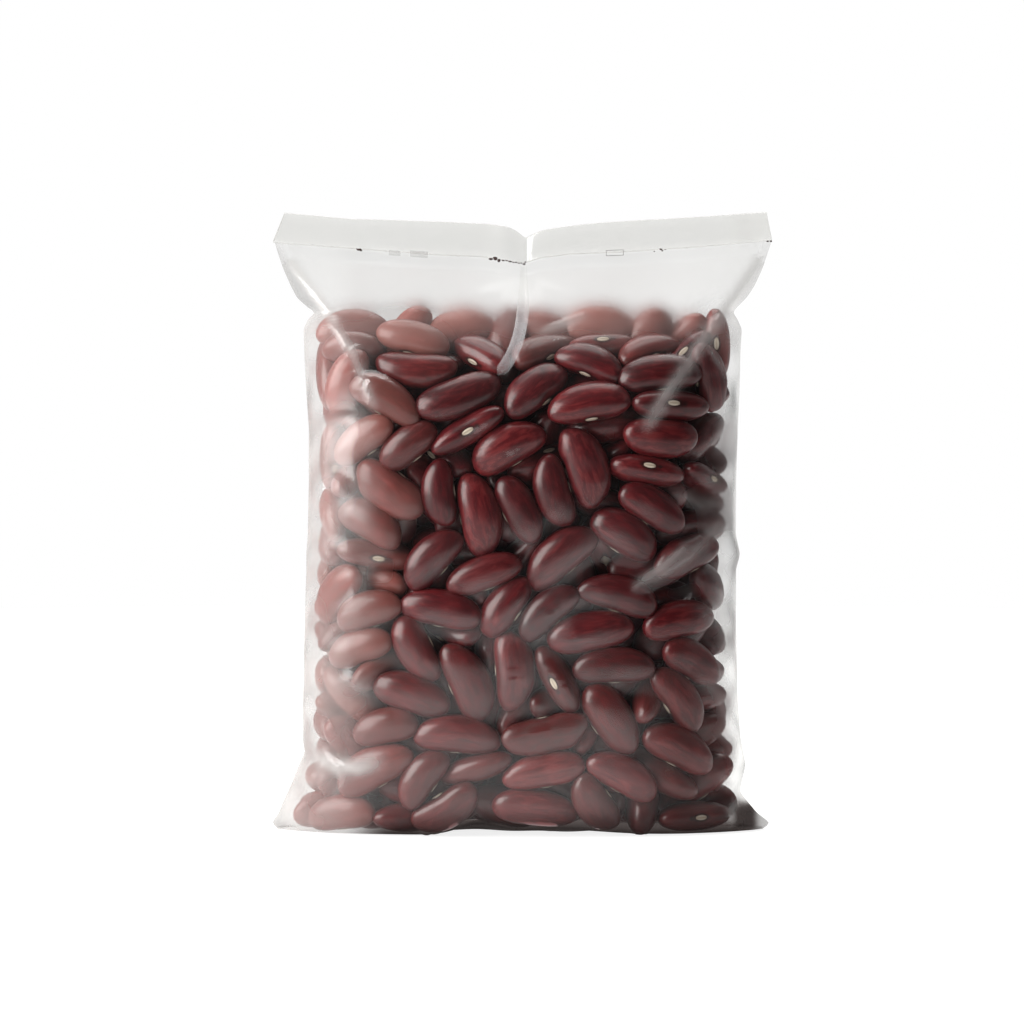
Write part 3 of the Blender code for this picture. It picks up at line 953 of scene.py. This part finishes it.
def makeFilm(balls, radii, material):
    columns = bag["columns"]
    heights = np.arange(0, filmTop + 0.01, bag["rowPitch"])
    heights[-1] = filmTop
    loop = 2 * columns
    rows = []
    for z in heights:
        x, y = rowOutline(z, columns)
        across = np.concatenate([x, x[-2:0:-1]])
        deep = np.concatenate([-y, y[-2:0:-1]])
        rows.append(np.stack([across, deep, np.full(loop, z)], axis=1))
    grid = np.array(rows)
    count = len(heights)
    flat = grid.reshape(-1, 3)
    x, y, z = flat.T
    columnsIn = np.arange(loop) % columns
    ends = np.tile(np.minimum(columnsIn, columns - columnsIn), count)  # columns from the nearer side

    # slack between beans, spread smoothly over the film, and frost where the film stands clear of them
    gap = slackAt(flat, balls, radii).reshape(count, loop)
    sink = np.clip(gap - 0.35, 0, 2.6) / 2.6
    sink = spreadOut(np.where(gap > 8, 0.35, sink), 14)
    frost = film["frost"] * spreadOut(ease((gap - 1.9) / 3.0), 6).ravel()
    frost *= 1 - ease((z - 103) / 4) * np.exp(-ends / 6.0)
    frost *= 1 - 0.55 * ease((x - 30) / 8) * np.exp(-ends / 9.0)
    body = ease((z - 2) / 8) * ease((112 - z) / 12) * (1 - 0.75 * np.exp(-ends / 7.0))
    move = -film["slack"] * sink.ravel() * body
    move += film["swell"] * waves(flat, 26.0, 9, 41) * body
    move += film["ripple"] * waves(flat, 9.0, 9, 42) * body
    milk = filmMilk(x, z)
    ridgeShine = np.zeros(len(flat))
    for side, sign in (("ridges", -1), ("front", -1), ("back", 1)):
        facing = np.where(y * sign > 0, 1.0, 0.0)
        for points, halfWidth, rise, milky in creases[side]:
            share = strokeShare(x, z, points, halfWidth) * facing
            move += rise * share
            milk = np.maximum(milk, milky * share + milk * (1 - share))
            if side == "ridges":
                ridgeShine = np.maximum(ridgeShine, share * ease((z - 90) / 16))
    # outward direction from the neighbouring points
    right = np.roll(grid, -1, 1) - np.roll(grid, 1, 1)
    up = np.concatenate([grid[1:], grid[-1:]]) - np.concatenate([grid[:1], grid[:-1]])
    outward = np.cross(right, up).reshape(-1, 3)
    outward /= np.linalg.norm(outward, axis=1, keepdims=True) + 1e-9
    pinch = 1 - np.exp(-ends / 4.0)
    pinch = np.maximum(pinch, ease((z - 14) / 8) * ease((104 - z) / 6))
    move = np.maximum(move * pinch, film["clearOfBeans"] - gap.ravel())
    flat = flat + outward * move[:, None]
    # the header's sag and the lift of the base
    flat[:, 2] -= sagAt(flat[:, 0], z)
    flat[:, 1] += foldBackAt(flat[:, 0], z)
    flat[:, 2] += np.where(y < 0, archAt(flat[:, 0], z), 0.4 * archAt(-flat[:, 0], z))
    flat[:, 2] = np.maximum(flat[:, 2], film["lowest"])
    # the base folds in under the bag to its flat seal
    upright = flat.reshape(count, loop, 3)
    under = []
    for step in range(bag["baseRows"], 0, -1):
        share = step / bag["baseRows"]
        ring = upright[0].copy()
        ring[:, 1] *= 1 - share
        ring[:, 0] *= 1 - 0.02 * share
        wobble = 0.25 * (1 + waves(ring, 14.0, 6, 77))
        ring[:, 2] = ring[:, 2] * (1 - ease(share * 3)) + wobble * ease(share * 4)
        ring[:, 2] = np.maximum(ring[:, 2], film["lowest"])
        under.append(ring)
    under = np.array(under)
    whole = np.concatenate([under, upright])
    total = len(whole)
    faces = tubeFaces(total, loop, capped=False)
    for row, flip in ((0, True), (total - 1, False)):
        start = row * loop
        for j in range(1, columns - 1):
            strip = (start + j, start + j + 1, start + loop - j - 1, start + loop - j)
            faces.append(strip[::-1] if flip else strip)
        tips = [(start, start + 1, start + loop - 1),
                (start + columns - 1, start + columns, start + columns + 1)]
        faces += [tip[::-1] if flip else tip for tip in tips]
    piece = makePiece("bagFilm", whole.reshape(-1, 3), faces, [material])
    below = np.ones(len(under) * loop)
    # painted shade on the film folded in under the bag
    belowShade = film["underShade"] * ease((under[:, :, 0].ravel() + 38) / 12)
    sheen = filmSheen(x, z, ends) + film["ridgeShine"] * ridgeShine
    storeNumbers(piece, "milk", np.concatenate([film["underMilk"] * below, milk]))
    storeNumbers(piece, "frost", np.concatenate([0 * below, frost]))
    storeNumbers(piece, "sheen", np.concatenate([film["underSheen"] * below, sheen]))
    storeNumbers(piece, "shade", np.concatenate([belowShade, filmShade(x, z)]))
    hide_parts("filled_bag")
    print("film", len(faces), "faces")


header = {
    "depth": 1.9,  # the folded strip, front to back
    "columns": 220,
    "rounding": 0.5,
    "foldBack": 1.6,  # how far the strip leans back at its middle fold
    "milk": 0.10,
    "rightMilk": 0.06,  # added near the right end
    "clearness": (0.91, 0.91, 0.90),
    "milkColour": (0.78, 0.775, 0.76),
    "edgeGloss": 0.16,
    "leftTop": -48.6,
    "rightTop": 50.4,
    "leftFoot": -51.3,
    "rightFoot": 51.6,
}


def headerFold(x):
    # the strip bends back on both sides of its middle fold, and stands forward just left of it
    x = np.asarray(x, float)
    back = header["foldBack"] * np.exp(-np.abs(x - 0.9) / 2.0)
    return back - 0.9 * np.exp(-(((x + 3.2) / 2.6) ** 2)) + 0.25 * np.sin(x / 9.0 + 1.0)


def makeHeader(material):
    columns = header["columns"]
    # closer together around the fold
    step = np.linspace(-1, 1, columns + 1)
    share = 0.55 * step + 0.45 * step**3
    section = []
    corners = [(-1, -1, pi), (1, -1, 1.5 * pi), (1, 1, 0.0), (-1, 1, 0.5 * pi)]
    for sideY, sideZ, start in corners:
        for k in range(4):
            angle = start + k * pi / 6
            section.append((sideY, sideZ, cos(angle), sin(angle)))
    points = []
    half = header["depth"] / 2
    r = header["rounding"]
    for s in share:
        for sideY, sideZ, c, d in section:
            up = (sideZ * (1 - 2 * r / 7) + 1) / 2
            low = s * (header["rightFoot"] if s > 0 else -header["leftFoot"])
            high = s * (header["rightTop"] if s > 0 else -header["leftTop"])
            x = low + (high - low) * up
            foot, top = headerFoot(low) - 0.2, headerTop(high)
            z = foot + r + (top - foot - 2 * r) * (sideZ + 1) / 2 + r * d
            thin = 1 - 0.35 * (sideZ + 1) / 2
            y = headerFold(x) + (sideY * (half - r) + r * c) * thin
            y += 0.14 * np.sin(x * 0.8 + 2.5 * up) * np.exp(-abs(x - 47) / 6)
            points.append((x, y, z))
    faces = tubeFaces(columns + 1, len(section))
    piece = makePiece("headerBand", points, faces, [material], smooth=False)
    piece.data.shade_smooth()
    piece.data.set_sharp_from_angle(angle=radians(50))
    x = np.array(points)[:, 0]
    milk = header["rightMilk"] * np.exp(-(((x - 47) / 5) ** 2))
    storeNumbers(piece, "milk", milk)
    storeNumbers(piece, "sheen", np.ones(len(milk)))


pleat = {
    "route": [
        (0.4, 116.6), (0.5, 112.0), (0.4, 108.0), (0.0, 104.5), (-0.8, 101.0), (-2.2, 97.8), (-4.0, 95.2),
        (-4.9, 94.4),
    ],
    "width": 2.5,
    "height": 0.12,
    "milk": 0.0,
    "middleMilk": 0.30,  # added along its middle
    "sheen": 0.25,
    "clearness": (0.985, 0.985, 0.98),
    "milkColour": (0.84, 0.85, 0.88),
    "edgeGloss": 0.05,
}


def makePleat(material):
    # a narrow fold of film standing on the front, from the header's fold down over the beans
    route = np.array(pleat["route"])
    at = np.linspace(0, len(route) - 1, 60)
    x = curveThrough(list(zip(range(len(route)), route[:, 0])), 0.5)(at)
    z = curveThrough(list(zip(range(len(route)), route[:, 1])), 0.5)(at)
    wayX, wayZ = np.gradient(x), np.gradient(z)
    long = np.hypot(wayX, wayZ)
    sideX, sideZ = -wayZ / long, wayX / long
    profile = [(-1, -0.6), (-0.96, 0.5), (-0.6, 0.95), (0.0, 1.0), (0.6, 0.95), (0.96, 0.5), (1, -0.6)]
    points = []
    for i in range(len(at)):
        share = i / (len(at) - 1)
        width = pleat["width"] / 2 * (0.55 + 0.45 * ease(share * 3))
        width = width * (1 - 0.85 * ease((share - 0.86) / 0.14))
        for aside, rise in profile:
            px = x[i] + sideX[i] * aside * width
            pz = z[i] + sideZ[i] * aside * width
            depth = filmDepth(np.array([px]), np.array([pz]))[0]
            back = foldBackAt(px, pz)
            points.append((px, -depth + back - 0.35 - pleat["height"] * rise, pz))
    faces = tubeFaces(len(at), len(profile), inward=True)
    piece = makePiece("centrePleat", points, faces, [material])
    height = np.array(points)[:, 2]
    milk = pleat["middleMilk"] * ease((112 - height) / 7) * ease((height - 93.5) / 4)
    storeNumbers(piece, "milk", milk)
    storeNumbers(piece, "sheen", np.full(len(height), pleat["sheen"]))


seal = {
    # marks along the header's lower edge: left end, right end, height
    "marks": [(-27.3, -24.9, 1.0), (-22.9, -19.3, 1.3)],
    "markStrength": 0.14,
    "frame": (17.4, 21.0, 1.1, 0.08),  # left end, right end, height and line width
    # specks of dirt: across, above the header's lower edge, size
    "specks": [
        (-33.4, 0.0, 0.34), (-33.0, -0.2, 0.22), (51.3, -0.1, 0.30), (50.6, -0.05, 0.22),
        (27.3, -0.2, 0.16), (28.7, 0.1, 0.28), (29.0, -0.2, 0.20), (29.6, 0.0, 0.14), (34.0, 0.0, 0.10),
        (-39.0, 0.1, 0.10), (-43.0, 0.3, 0.08), (-33.9, 0.1, 0.12), (-13.0, -0.1, 0.08), (-10.5, 0.1, 0.07),
    ],
    "crack": [(-6.3, -0.1, 0.45), (-5.4, 0.1, 0.55), (-4.6, -0.1, 0.5), (-3.8, 0.0, 0.3), (-3.0, 0.1, 0.22),
              (-2.3, 0.0, 0.28), (-1.7, -0.1, 0.22), (-1.1, 0.0, 0.3), (-0.5, -0.1, 0.24), (0.0, 0.0, 0.2),
              (0.5, -0.2, 0.3), (0.8, 0.2, 0.2)],
}


def bandFront(x):
    return headerFold(x) - header["depth"] / 2


def makeMarks(material, dark):
    steps = 8

    def plate(points, faces, left, right, low, high, proud):
        # a thin plate that follows the strip
        first = len(points)
        for i in range(steps + 1):
            x = left + (right - left) * i / steps
            foot = float(headerFoot(x)) - 0.2
            for z, y in ((low, 0.05), (low, -proud), (high, -proud), (high, 0.05)):
                points.append((x, float(bandFront(x)) + y, foot + z))
        faces += tubeFaces(steps + 1, 4, first)

    points, faces = [], []
    for left, right, height in seal["marks"]:
        plate(points, faces, left, right, -0.7, height - 0.7, 0.06)
    makePiece("sealMarks", points, faces, [material], smooth=False)

    points, faces = [], []
    left, right, height, line = seal["frame"]
    low, high = -0.6, height - 0.6
    for sides in (
        (left, right, low, low + line), (left, right, high, high + line),
        (left, left + line, low, high), (right - line, right, low, high),
    ):
        plate(points, faces, *sides, 0.05)
    ball = [(cos(a) * cos(b), sin(b), sin(a) * cos(b)) for b in (-0.9, 0.0, 0.9)
            for a in np.arange(8) * pi / 4]
    rng = np.random.default_rng(5)
    for x, z, size in seal["specks"] + seal["crack"]:
        faces += tubeFaces(3, 8, len(points))
        foot = float(headerFoot(x)) - 0.2
        stretch = rng.uniform(0.8, 1.5)
        for bx, by, bz in ball:
            grow = size * rng.uniform(0.65, 1.25)
            y = float(bandFront(x)) + by * 0.12
            points.append((x + bx * grow * stretch, y, foot + z + bz * grow * 0.7))
    makePiece("sealSpecks", points, faces, [dark], smooth=False)


def markMaterial():
    # thin grey heat marks in the film, half see-through
    material, tree = newMaterial("seal mark")
    colour = colourRamp(
        tree, noise(tree, None, 900.0, 3.0), (0.0, (0.36, 0.35, 0.34)), (1.0, (0.56, 0.55, 0.54))
    )
    clear = addNode(tree, "ShaderNodeBsdfTransparent", Color=(0.95, 0.95, 0.95, 1))
    grey = addNode(tree, "ShaderNodeBsdfDiffuse", {"Color": colour})
    mix = mixShaders(tree, seal["markStrength"], clear.outputs[0], grey.outputs[0])
    addNode(tree, "ShaderNodeOutputMaterial", {"Surface": mix})
    return material


def speckMaterial():
    material, tree = newMaterial("seal dirt")
    colour = colourRamp(
        tree, noise(tree, None, 3000.0, 3.0), (0.35, (0.012, 0.008, 0.008)), (0.7, (0.09, 0.05, 0.045))
    )
    shader = addNode(tree, "ShaderNodeBsdfPrincipled", {"Base Color": colour}, Roughness=0.8)
    addNode(tree, "ShaderNodeOutputMaterial", {"Surface": shader.outputs[0]})
    return material


studio = {
    "floorReach": 0.69,  # how far the pale floor runs out from the bag, in metres
    "floorColours": ((0.26, 0.26, 0.255), (0.28, 0.28, 0.275)),
    "backdrop": 1.0,
    "front": 0.02,  # the dark side of the studio, behind the camera
    "behind": 0.42,
    "overhead": 0.08,
    "floorGlow": 0.84,
}


def makeStudio():
    data = bpy.data.meshes.new("paleFloor")
    reach = studio["floorReach"]
    ring = [(reach * cos(a), reach * sin(a), 0.0) for a in np.arange(96) * 2 * pi / 96]
    data.from_pydata(ring, [], [tuple(range(96))])
    floor = bpy.data.objects.new("paleFloor", data)
    bpy.context.scene.collection.objects.link(floor)
    floor.location.z = bagLow[2] - 0.0001
    material, tree = newMaterial("pale floor")
    tint = colourRamp(tree, noise(tree, None, 900.0, 3.0), *zip((0.0, 1.0), studio["floorColours"]))
    shader = addNode(tree, "ShaderNodeBsdfPrincipled", {"Base Color": tint}, Roughness=0.9)
    shader.inputs["Emission Color"].default_value = (1, 1, 1, 1)
    shader.inputs["Emission Strength"].default_value = studio["floorGlow"]
    addNode(tree, "ShaderNodeOutputMaterial", {"Surface": shader.outputs[0]})
    data.materials.append(material)

    world = bpy.data.worlds.new("studio")
    world.use_nodes = True
    bpy.context.scene.world = world
    tree = world.node_tree
    tree.nodes.clear()
    place = addNode(tree, "ShaderNodeTexCoord")
    split = addNode(tree, "ShaderNodeSeparateXYZ", {0: place.outputs["Generated"]})
    depth = mapped(tree, split.outputs["Y"], -0.25, 0.7, studio["front"], studio["behind"])
    above = mapped(tree, split.outputs["Z"], 0.25, 0.9, 0.0, studio["overhead"])
    light = reckon(tree, "MAXIMUM", depth, above)
    around = addNode(tree, "ShaderNodeBackground", {"Strength": light}, Color=(1, 1, 1, 1))
    behind = addNode(tree, "ShaderNodeBackground", Color=(1, 1, 1, 1), Strength=studio["backdrop"])
    ray = addNode(tree, "ShaderNodeLightPath")
    seen = reckon(tree, "MAXIMUM", ray.outputs["Is Camera Ray"], ray.outputs["Is Transmission Ray"])
    mix = mixShaders(tree, seen, around.outputs[0], behind.outputs[0])
    addNode(tree, "ShaderNodeOutputWorld", {"Surface": mix})


lamps = {
    # place and aim in metres, width, height, power, colour
    "keyLeft": ((-0.82, -0.30, 0.42), (0, 0, 0.06), 0.90, 0.80, 22.5, (1.0, 0.985, 0.965)),
    "overTop": ((0.0, 0.24, 0.82), (0, 0, 0.06), 0.70, 0.70, 6.0, (1.0, 0.985, 0.97)),
    "fillRight": ((0.70, -0.10, 0.30), (0, 0, 0.07), 0.30, 0.60, 0.2, (0.97, 0.985, 1.0)),
}


def aimAt(thing, place, target):
    # turns a lamp or camera at place towards target
    way = Vector(target) - Vector(place)
    thing.location = place
    thing.rotation_euler = way.to_track_quat("-Z", "Y").to_euler()


def makeLamps():
    for name, (place, target, width, height, power, colour) in lamps.items():
        data = bpy.data.lights.new(name, "AREA")
        data.shape = "RECTANGLE"
        data.size = width
        data.size_y = height
        data.energy = power
        data.color = colour
        lamp = bpy.data.objects.new(name, data)
        bpy.context.scene.collection.objects.link(lamp)
        lamp.visible_camera = False
        aimAt(lamp, place, target)


camera = {
    "sensor": 36,
    "distance": 1.3,
    "height": 3.0,  # degrees above level
    "frameWidth": 211.3,  # millimetres across the picture at the bag
    "aim": (-1.95, 65.6),
}


def makeCamera():
    data = bpy.data.cameras.new("camera")
    data.sensor_width = camera["sensor"]
    data.lens = camera["sensor"] * camera["distance"] / (camera["frameWidth"] * unit)
    data.clip_end = 20
    view = bpy.data.objects.new("camera", data)
    bpy.context.scene.collection.objects.link(view)
    tilt = radians(camera["height"])
    target = (camera["aim"][0] * unit, 0.0, camera["aim"][1] * unit)
    place = (target[0], -camera["distance"] * cos(tilt), target[2] + camera["distance"] * sin(tilt))
    aimAt(view, place, target)
    bpy.context.scene.camera = view
    bpy.context.scene.view_settings.view_transform = "Standard"


makeStudio()
makeLamps()
makeCamera()
print("studio ready")

size, bend, place, turn = packBeans()
skins = [
    (name, share, beanSkin(name + "Skin", dark, warm, pale, shine))
    for name, (share, dark, warm, pale, shine) in skinKinds.items()
]
makeBeans((size, bend, place, turn), skins, eyeSkin())
balls, radii = coverBalls(size, bend, place, turn)
makeFilm(balls, radii, filmMaterial("clear film", film))
print("beans and film ready")

makeHeader(filmMaterial("header film", header))
makePleat(filmMaterial("pleat film", pleat))
makeMarks(markMaterial(), speckMaterial())
print("header ready")
